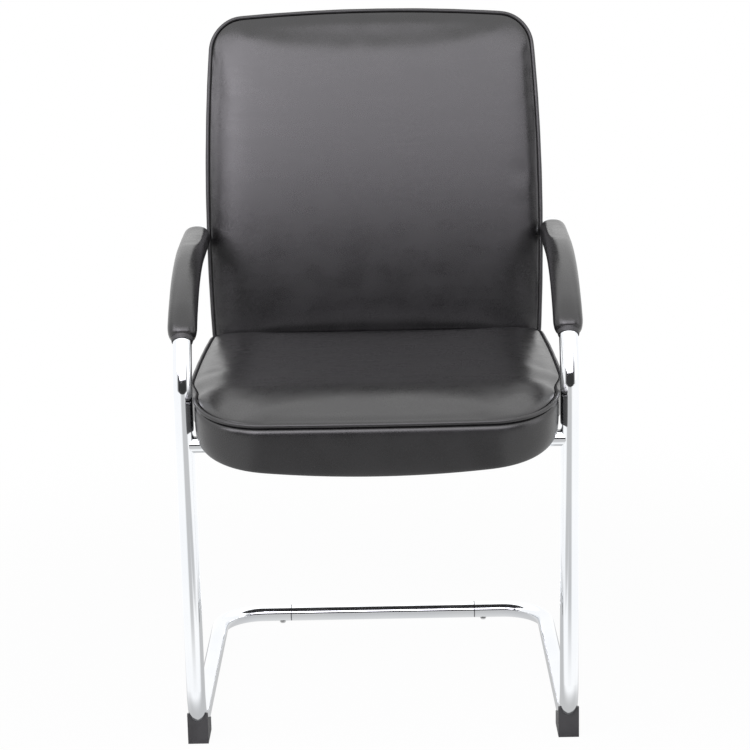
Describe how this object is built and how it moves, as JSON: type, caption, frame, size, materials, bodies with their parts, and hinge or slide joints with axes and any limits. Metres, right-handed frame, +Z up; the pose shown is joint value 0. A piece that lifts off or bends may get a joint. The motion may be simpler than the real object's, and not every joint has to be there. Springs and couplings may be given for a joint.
{
  "type": "visitor chair",
  "caption": "Cantilever visitor chair with a bent tube sled frame, curved padded arms, and a padded seat and back edged with piping.",
  "frame": {"origin": "centre of the chair's footprint box, on the floor", "axes": "+Z up, -Y towards the seat's front, +X towards the sitter's left arm"},
  "size_m": [0.5616, 0.6568, 0.9558],
  "materials": {
    "chrome": "polished chrome plate",
    "zinc": "zinc plate",
    "powder_black": "black powder coat",
    "moulded_black": "fine moulded texture",
    "leather_black": "soft semi-gloss with a fine grain",
    "plywood": "bare moulded plywood",
    "foam": "open polyurethane foam",
    "dust_cloth": "spun black cloth"
  },
  "bodies": {
    "root": {"side_tube_left": "chrome", "side_tube_right": "chrome", "rear_cross_tube": "chrome", "joint_sleeve_left": "zinc", "joint_sleeve_right": "zinc", "joint_screws": "zinc", "front_seat_rail": "chrome", "front_glide_left": "moulded_black", "front_glide_right": "moulded_black", "rear_glide_left": "moulded_black", "rear_glide_right": "moulded_black", "arm_foam_left": "foam", "arm_foam_right": "foam", "arm_pad_left": "leather_black", "arm_pad_right": "leather_black", "arm_collar_left": "moulded_black", "arm_collar_right": "moulded_black", "arm_plug_left": "moulded_black", "arm_plug_right": "moulded_black", "arm_bolts": "zinc", "arm_spacers": "moulded_black", "arm_insert_nuts": "zinc", "seat_board": "plywood", "seat_foam": "foam", "seat_cover": "leather_black", "seat_piping": "leather_black", "seat_dust_cover": "dust_cloth", "seat_bolts": "zinc", "seat_t_nuts": "zinc", "back_board": "plywood", "back_side_block_left": "plywood", "back_side_block_right": "plywood", "back_foam": "foam", "back_cover": "leather_black", "back_piping": "leather_black", "back_rear_panel": "leather_black", "back_bolts": "zinc", "back_t_nuts": "zinc", "support_bar_left": "powder_black", "support_bar_right": "powder_black"}
  },
  "joints": []
}
